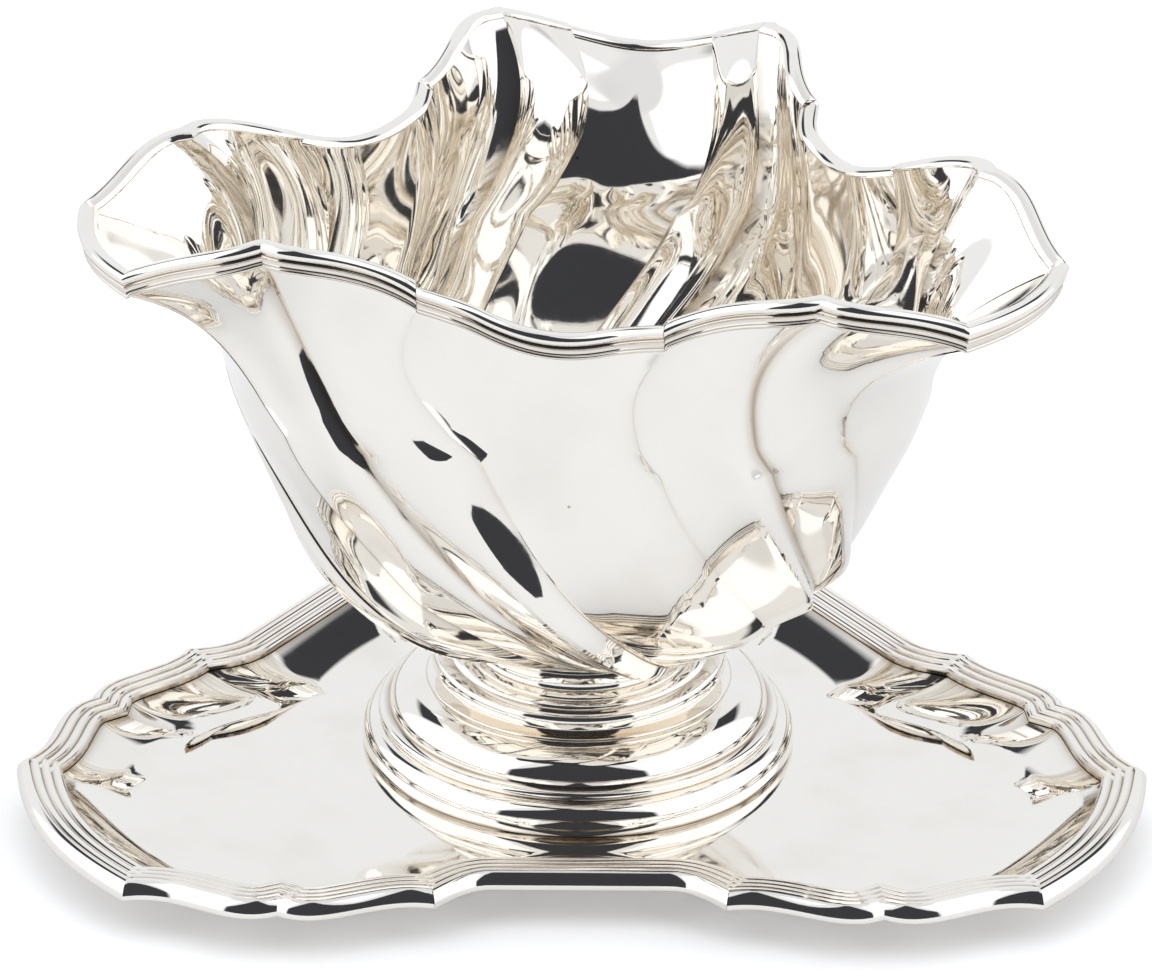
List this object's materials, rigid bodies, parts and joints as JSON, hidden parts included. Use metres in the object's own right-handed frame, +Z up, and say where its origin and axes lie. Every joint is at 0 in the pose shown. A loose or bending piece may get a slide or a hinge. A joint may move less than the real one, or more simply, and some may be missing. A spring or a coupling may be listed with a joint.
{
  "type": "sauce boat",
  "caption": "Three-lobed silver sauce boat with twisted flutes and a reeded cusped border, on a stepped round foot fixed to its own lobed tray.",
  "frame": {"origin": "middle of the tray's flat base, on the axis of the round foot", "axes": "+Z up, -Y towards the low front side of the bowl, +X to the right of someone who looks along +Y"},
  "size_m": [0.2029, 0.1851, 0.1257],
  "materials": {
    "bright_silver": "mirror-polished silver, slightly warm in the creases",
    "border_silver": "polished cast silver, darker in the grooves between the reeds"
  },
  "bodies": {
    "root": {"tray_body": "bright_silver", "lower_foot_tier": "bright_silver", "upper_foot_tier": "bright_silver", "collar": "bright_silver", "neck": "bright_silver", "bowl_body": "bright_silver", "tray_border_left_lobe": "border_silver", "tray_border_front_side": "border_silver", "tray_border_right_lobe": "border_silver", "tray_border_right_side": "border_silver", "tray_border_back_lobe": "border_silver", "tray_border_left_side": "border_silver", "bowl_border_left_lobe": "border_silver", "bowl_border_front_side": "border_silver", "bowl_border_right_lobe": "border_silver", "bowl_border_right_side": "border_silver", "bowl_border_back_lobe": "border_silver", "bowl_border_left_side": "border_silver"}
  },
  "joints": []
}
